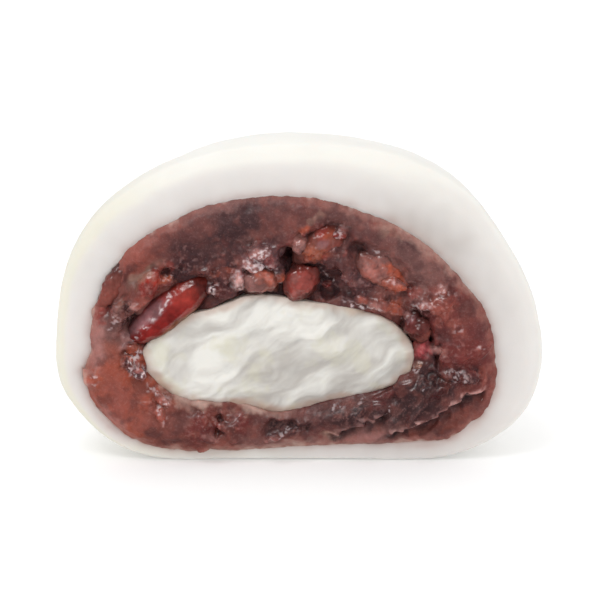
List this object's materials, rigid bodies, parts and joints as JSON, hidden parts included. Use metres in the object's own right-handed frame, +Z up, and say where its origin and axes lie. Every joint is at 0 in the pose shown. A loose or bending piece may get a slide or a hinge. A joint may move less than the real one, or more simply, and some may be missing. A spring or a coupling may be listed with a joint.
{
  "type": "mochi rice cake half",
  "caption": "Half of a round soft rice cake: a white mochi skin round chunky red bean paste with whole beans and a lens of whipped cream, cut upright.",
  "frame": {"origin": "middle of the overall box in X and Y, at the flat underside", "axes": "+X along the knife cut to the right as the cut is seen, +Y from the cut into the cake, +Z up"},
  "size_m": [0.056, 0.032, 0.037],
  "materials": {
    "mochi": "soft, slightly translucent white rice dough, dusted with starch outside and smooth where cut",
    "bean_paste": "moist chunky red bean paste, brown-purple, with wet highlights",
    "whipped_cream": "soft white whipped cream with torn folds",
    "azuki_bean": "glazed cooked bean skin, deep red to orange-brown"
  },
  "bodies": {
    "root": {"mochi_skin": "mochi", "bean_paste": "bean_paste", "cream_filling": "whipped_cream", "azuki_bean_1": "azuki_bean", "azuki_bean_2": "azuki_bean", "azuki_bean_3": "azuki_bean", "azuki_bean_4": "azuki_bean", "azuki_bean_5": "azuki_bean", "azuki_bean_6": "azuki_bean", "azuki_bean_7": "azuki_bean"}
  },
  "joints": []
}
